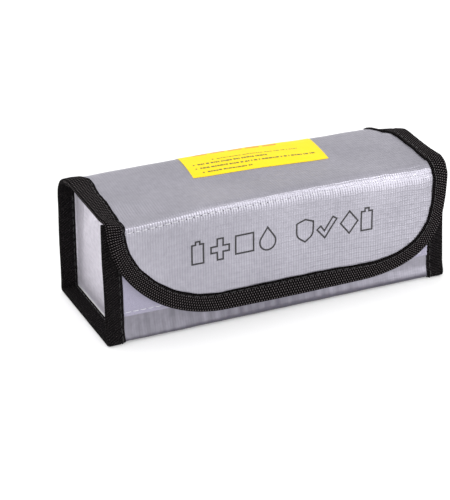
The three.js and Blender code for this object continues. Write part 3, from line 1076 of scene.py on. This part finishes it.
def lid_tape(side, end):
    q_start = float(run_of_lid(side * HALF, OVERLAP_Y))
    q_end = float(at_front_seam(side * HALF))
    edge, inward = end_edge(side, q_start, q_end, LID_OUT[end])
    rise = 0.62 * smooth((edge[:, 1] - q_start + 9) / 6)
    leg = lid_leg(end, edge[:, 1])
    lid = tape(f"lid_tape_{end}", edge, inward, leg, LID_INNER_LEG, TAPE, rise, phase=2.0 * side)
    belongs(lid, "lid", [f"lid_binding_{end}"])
    tape_stitches("lid", end, edge, inward, leg - 1.3, LID_INNER_LEG - 1.5, "lid", f"thread_lid_{end}")


def flap_tape():
    edge, inward = flap_edge()
    leg = flap_leg(edge)
    flap = tape("flap_tape", edge, inward, leg, LID_INNER_LEG, TAPE)
    belongs(flap, "front_fold", ["flap_binding"])
    tape_stitches("flap", "", edge, inward, leg - 0.9, LID_INNER_LEG - 1.5, "front_fold", "thread_flap_edge")


def rim_tape():
    """Tape over the front wall's upper edge, hidden behind the flap."""
    rim_half = PANEL_X - 0.8
    x = np.linspace(-rim_half, rim_half, 100)
    edge = joined(x, run_of_wall_front(x, RIM_TOP))
    inward = joined(np.zeros_like(x), -np.ones_like(x))
    rim = tape("rim_tape", edge, inward, RIM_LEG, RIM_LEG, TAPE)
    belongs(rim, "shell", ["binding_rim"])
    tape_stitches("rim", "", edge, inward, RIM_LEG - 1.5, RIM_LEG - 1.6, "shell", "thread_rim")


def tape_pieces():
    for side, end in ENDS:
        q_seam = float(at_rear_seam(side * HALF))
        fin_tape(side, end, q_seam)
        corner_tape(side, end, q_seam)
        lid_tape(side, end)
    flap_tape()
    rim_tape()


# ---------- hook and loop


def strip_drop(x):
    """How much lower than its plain place the loop strip is sewn, more so towards the right."""
    return 0.6 + 1.2 * (x + HALF) / (2 * HALF)


def loop_strip():
    lo, hi = low("loop_strip"), high("loop_strip")
    half = PANEL_X - 0.2
    x, z = rectangle(-half, half, 320, lo[2], hi[2], 52)
    q = run_of_wall_front(x, z - strip_drop(x))
    edge = np.minimum(z - lo[2], hi[2] - z)
    pile = 0.16 * rng.random(x.shape) * np.clip(edge / 0.8, 0.2, 1)
    pile = pile - 0.35 * bell((edge - 2.0) / 0.45) + 0.25 * smooth(edge / 1.0)
    base = skin_slab("loop_tape", x, q, (CLOTH[0] - 0.55 - pile, CLOTH[0] - 0.05), LOOP)
    belongs(base, "shell", ["loop_strip"])
    along = np.linspace(-half, half, 160)
    for name, height in (("loop_stitches", lo[2] + 2.0), ("loop_stitches_top", hi[2] - 2.0)):
        line = joined(along, run_of_wall_front(along, height - strip_drop(along)))
        made = stitches(name, line, CLOTH[0] - 0.62, GREY_THREAD)
        belongs(made, "shell", ["thread_loop_strip"])


def dense(corners, step):
    """Points along a polyline, at most step apart."""
    points = [np.array(corners[0], float)]
    for a, b in zip(corners, corners[1:]):
        a, b = np.array(a, float), np.array(b, float)
        count = max(1, int(norm(b - a) / step))
        points += [a + (b - a) * k / count for k in range(1, count + 1)]
    return np.array(points)


def hook_strip():
    lo, hi = low("hook_strip"), high("hook_strip")
    x, z = rectangle(lo[0], hi[0], 60, lo[2], hi[2], 20)
    q = run_of_flap(x, z)
    face = LINING[1] + 0.55
    base = skin_slab("hook_tape", x, q, (LINING[1] + 0.03, face), HOOK)
    belongs(base, "flap", ["hook_strip"])
    inset = 1.8
    left, right, bottom, top = lo[0] + inset, hi[0] - inset, lo[2] + inset, hi[2] - inset
    line = dense([(left, bottom), (right, bottom), (right, top), (left, top), (left, bottom)], 1.5)
    line = joined(line[:, 0], run_of_flap(line[:, 0], line[:, 1]))
    made = stitches("hook_stitches", line, face + 0.05, GREY_THREAD, -1)
    belongs(made, "flap", ["thread_hook_strip"])
    hooks(left + 1.2, right - 1.2, bottom + 1.2, top - 1.2, face)


def hooks(left, right, bottom, top, face):
    """Rows of small bent hooks that stand on the hook tape."""
    pitch, sides, thick = 1.5, 4, 0.10
    xs, zs = np.meshgrid(np.arange(left, right, pitch), np.arange(bottom, top, pitch))
    xs = (xs + rng.normal(0, 0.08, xs.shape)).ravel()
    zs = (zs + rng.normal(0, 0.08, zs.shape)).ravel()
    bent = [(0.0, -0.05), (0.0, 0.30), (0.10, 0.50), (0.30, 0.55), (0.42, 0.42)]
    points = []
    for level, (along, rise) in enumerate(bent):
        tilt = level / (len(bent) - 1)
        for angle in ring(sides):
            dx, dz = thick * math.cos(angle), thick * math.sin(angle)
            x = xs + along + dx * (1 - 0.6 * tilt)
            depth = face + rise - dx * 0.8 * tilt
            points.append(skin(x, run_of_flap(xs, zs + dz), depth))
    points = np.stack(points, axis=1).reshape(-1, 3)
    made = make_piece("hooks", points, tube_faces(len(xs), len(bent), sides), HOOK)
    belongs(made, "flap")


# ---------- label and print

LABEL_TILT = math.radians(3.0)
LABEL_LENGTH = 73.3
LABEL_DEPTH = 31.0
LABEL_CORNER = (-32.5, 1.2)  # x and y of its front left corner
LABEL_LAYER = (CLOTH[0] - 0.2, CLOTH[0] - 0.04)


def on_label(along, up):
    """(x, q) of a point on the label, from its front left corner."""
    corner_q = run_of_lid(LABEL_CORNER[0], LABEL_CORNER[1])
    x = LABEL_CORNER[0] + along * math.cos(LABEL_TILT) + up * math.sin(LABEL_TILT)
    return x, corner_q - along * math.sin(LABEL_TILT) + up * math.cos(LABEL_TILT)


def bars(name, spans, material):
    """Printed bars on the label: spans are (along, up, length, height)."""
    top, bottom = LABEL_LAYER[0] - 0.03, LABEL_LAYER[0] + 0.03
    points, uv = [], []
    for along, up, length, height in spans:
        count = max(1, int(length / 1.5))
        for k in range(count):
            a, b = along + length * k / count, along + length * (k + 1) / count
            square = np.array([(a, up), (b, up), (b, up + height), (a, up + height)])
            x, q = on_label(square[:, 0], square[:, 1])
            points += [skin(x, q, top), skin(x, q, bottom)]
            uv.append(square)
    faces = tube_faces(len(uv), 2, 4)
    flat = np.concatenate([np.concatenate([square, square]) for square in uv])
    return make_piece(name, np.concatenate(points), faces, material, flat[np.concatenate(faces)])


# Rows of marks: (up, start, end, height)
ROWS = ((3.0, 9.0, 33.0, 1.0), (6.8, 6.5, 69.0, 1.2), (10.6, 6.5, 44.0, 1.3), (14.2, 18.0, 62.0, 0.6))


def label_pieces():
    along, up = rectangle(0, LABEL_LENGTH, 50, 0, LABEL_DEPTH, 26)
    x, q = on_label(along, up)
    near, far = (skin(x, q, depth) for depth in LABEL_LAYER)
    film = slab("label_film", near, far, joined(along, up), LABEL)
    belongs(film, "rear_fold", ["label"])
    lines = []
    for up_at, start, end, height in ROWS:
        at = start
        while at < end:
            mark = min(float(rng.uniform(0.5, 1.9)), end - at)
            lines.append((at, up_at + float(rng.uniform(-0.08, 0.08)), mark, height))
            at += mark + float(rng.choice((0.3, 0.3, 0.9)))
        lines.append((start - 2.6, up_at, 0.9, 0.9))
    belongs(bars("label_lines", lines, INK), "rear_fold")
    heading = [(8 + 9.5 * k, 21.5, 7.6, 1.5) for k in range(5)]
    belongs(bars("label_heading", heading, RED_INK), "rear_fold")


def outline_ribbon(corners, width, x0, z0, scale):
    """A closed outline drawn with a flat ribbon on the flap: its points and faces."""
    loop = dense([*corners, corners[0]], 0.12)[:-1] * scale
    ahead = np.roll(loop, -1, axis=0) - loop
    ahead /= norm(ahead, axis=1, keepdims=True)
    behind = np.roll(ahead, 1, axis=0)
    mean = ahead + behind
    mean /= norm(mean, axis=1, keepdims=True)
    side = joined(-mean[:, 1], mean[:, 0])
    stretch = 1 / np.clip(np.sum(mean * ahead, axis=1), 0.5, 1)
    rails = []
    near, far = CLOTH[0] - 0.06, CLOTH[0] + 0.05
    for sign, depth in ((-1, near), (1, near), (1, far), (-1, far)):
        flat = loop + side * (sign * width / 2 * stretch)[:, None]
        x, z = x0 + flat[:, 0], z0 + flat[:, 1]
        rails.append(skin(x, run_of_flap(x, z), depth))
    points = np.stack(rails, axis=1).reshape(-1, 3)
    count = len(loop)
    faces = []
    for i in range(count):
        here, there = i * 4, ((i + 1) % count) * 4
        for k in range(4):
            faces.append([here + k, here + (k + 1) % 4, there + (k + 1) % 4, there + k])
    return points, faces


def arc_points(cx, cz, radius, start, end, steps):
    angles = [math.radians(start + (end - start) * k / steps) for k in range(steps + 1)]
    return [(cx + radius * math.cos(a), cz + radius * math.sin(a)) for a in angles]


# Plain outlined signs, each in a box one unit high that starts at the origin
CELL = [(0, 0), (0.5, 0), (0.5, 0.86), (0.34, 0.86), (0.34, 1), (0.16, 1), (0.16, 0.86), (0, 0.86)]
PLUS = [(0.27, 0), (0.53, 0), (0.53, 0.33), (0.8, 0.33), (0.8, 0.6), (0.53, 0.6), (0.53, 0.93), (0.27, 0.93),
        (0.27, 0.6), (0, 0.6), (0, 0.33), (0.27, 0.33)]
DROP = [(0.36, 1), *arc_points(0.36, 0.36, 0.36, 150, 390, 16)]
SHIELD = [(0.4, 1), (0.78, 0.86), (0.78, 0.5), *arc_points(0.4, 0.46, 0.38, -12, -60, 4), (0.4, 0),
          *arc_points(0.4, 0.46, 0.38, -120, -168, 4), (0.02, 0.5), (0.02, 0.86)]
TICK = [(0, 0.42), (0.17, 0.56), (0.34, 0.32), (0.72, 0.9), (0.9, 0.78), (0.36, 0)]
DIAMOND = [(0.4, 0), (0.8, 0.5), (0.4, 1), (0, 0.5)]
BOX = [(0, 0.1), (0.8, 0.1), (0.8, 0.9), (0, 0.9)]
SIGNS = (  # each with the x of its left side
    (CELL, -48.0), (PLUS, -38.0), (BOX, -25.0), (DROP, -12.0),
    (SHIELD, 8.0), (TICK, 19.5), (DIAMOND, 32.5), (CELL, 44.0),
)
SIGN_HEIGHT = 12.0
SIGN_LOW = 35.0
SIGN_LINE = 0.85


def flap_print():
    points, faces, start = [], [], 0
    for corners, x0 in SIGNS:
        made, found = outline_ribbon(corners, SIGN_LINE, x0, SIGN_LOW, SIGN_HEIGHT)
        points.append(made)
        faces += [[start + k for k in face] for face in found]
        start += len(made)
    points = np.concatenate(points)
    uv = points[np.concatenate(faces)][:, [0, 2]]
    belongs(make_piece("flap_signs", points, faces, FLAP_INK, uv), "flap")


def crease_stitches():
    x = np.linspace(LID_LEGS["left"] - HALF, HALF - LID_LEGS["right"], 120)
    line = joined(x, np.full_like(x, CREASE_RUN))
    made = stitches("crease_stitches", line, CLOTH[0] + 0.02, GREY_THREAD)
    belongs(made, "front_fold", ["thread_crease"])
    needle_hole_shade(line)


def needle_hole_shade(line):
    """Small dark discs where the thread of the crease goes in, one between each two stitches: painted shade
    in the needle holes.
    """
    gap = (STITCH_PITCH - STITCH_LENGTH) / 2
    centre = np.interp(stitch_starts(line) - gap, run_along(line), line[:, 0])
    sides, half_width, half_height = 10, 0.30, 0.36
    turn = ring(sides)
    x = centre[:, None] + half_width * np.cos(turn)
    q = np.broadcast_to(CREASE_RUN + half_height * np.sin(turn), x.shape)
    rims = np.stack([skin(x, q, CLOTH[0] - 0.03), skin(x, q, CLOTH[0] + 0.06)], axis=1).reshape(-1, 3)
    belongs(make_piece("needle_hole_shade", rims, tube_faces(len(centre), 2, sides), BLACK_THREAD), "front_fold")


# ---------- camera, floor and light

CAMERA_PLACE = (-0.36896, -0.77517, 0.44152)
CAMERA_TARGET = (-0.0159, 0.0001, 0.0219)
LENS = 135.4
SENSOR = 36.0
LIT_POINT = (0, 0, 0.04)


def aim(obj, target):
    direction = Vector(target) - obj.location
    obj.rotation_euler = direction.to_track_quat("-Z", "Y").to_euler()


def camera():
    data = bpy.data.cameras.new("camera")
    data.lens, data.sensor_width, data.sensor_fit = LENS, SENSOR, "AUTO"
    data.clip_start, data.clip_end = 0.01, 20
    made = add_object("camera", data)
    made.location = CAMERA_PLACE
    aim(made, CAMERA_TARGET)
    bpy.context.scene.camera = made


def area_light(name, direction, distance, size, radiance, shadow):
    """A soft box seen from the bag in some direction, as bright as radiance."""
    data = bpy.data.lights.new(name, "AREA")
    data.shape, data.size, data.size_y = "RECTANGLE", size[0], size[1]
    data.energy = radiance * math.pi * size[0] * size[1]
    data.use_shadow = shadow
    made = add_object(name, data)
    made.location = Vector(LIT_POINT) + Vector(direction).normalized() * distance
    aim(made, LIT_POINT)


SKY = ((0.0, 1.1), (0.10, 1.15), (0.32, 1.1), (0.47, 0.86), (1.0, 0.95))  # (height of direction, radiance)


LIGHTS = (  # name, direction, distance, size, radiance, whether it casts a shadow
    ("crest_box", (0.37, -0.44, 0.81), 1.3, (0.5, 0.30), 10.5, False),
    ("right_box", (0.75, -0.6, 0.30), 0.55, (0.42, 0.42), 2.2, False),
    ("left_box", (-0.85, 0.45, 0.15), 1.3, (0.6, 0.6), 4.0, False),
    ("top_box", (-0.35, 0.35, 1.0), 1.5, (0.9, 0.9), 1.8, True),
)
FLOOR_HALF = 3.0


def studio():
    scene = bpy.context.scene
    scene.view_settings.view_transform = "Standard"
    world = bpy.data.worlds.new("studio")
    scene.world = world
    world.use_nodes = True
    tree = world.node_tree
    place = node(tree, "TexCoord")
    split = node(tree, "SeparateXYZ")
    tree.links.new(place.outputs["Generated"], split.inputs[0])
    ramp = node(tree, "ValToRGB")
    tree.links.new(split.outputs["Z"], ramp.inputs[0])
    elements = ramp.color_ramp.elements
    while len(elements) < len(SKY):
        elements.new(0.5)
    for element, (at, level) in zip(elements, SKY):
        element.position = at
        element.color = (level, level, level, 1)
    tree.links.new(ramp.outputs[0], tree.nodes["Background"].inputs["Color"])
    for light in LIGHTS:
        area_light(*light)
    floor_mesh = bpy.data.meshes.new("floor")
    corners = [(x * FLOOR_HALF, y * FLOOR_HALF, 0) for x, y in ((-1, -1), (1, -1), (1, 1), (-1, 1))]
    floor_mesh.from_pydata(corners, [], [(0, 1, 2, 3)])
    look = Surface("floor")
    look.set("Base Color", (0.88, 0.88, 0.88, 1))
    look.set("Roughness", 0.8)
    floor_mesh.materials.append(look.material)
    floor = add_object("floor", floor_mesh)


# ---------- the whole bag

camera()
studio()
cloth_pieces()
lining_pieces()
end_pieces()
tape_pieces()
loop_strip()
hook_strip()
label_pieces()
flap_print()
crease_stitches()
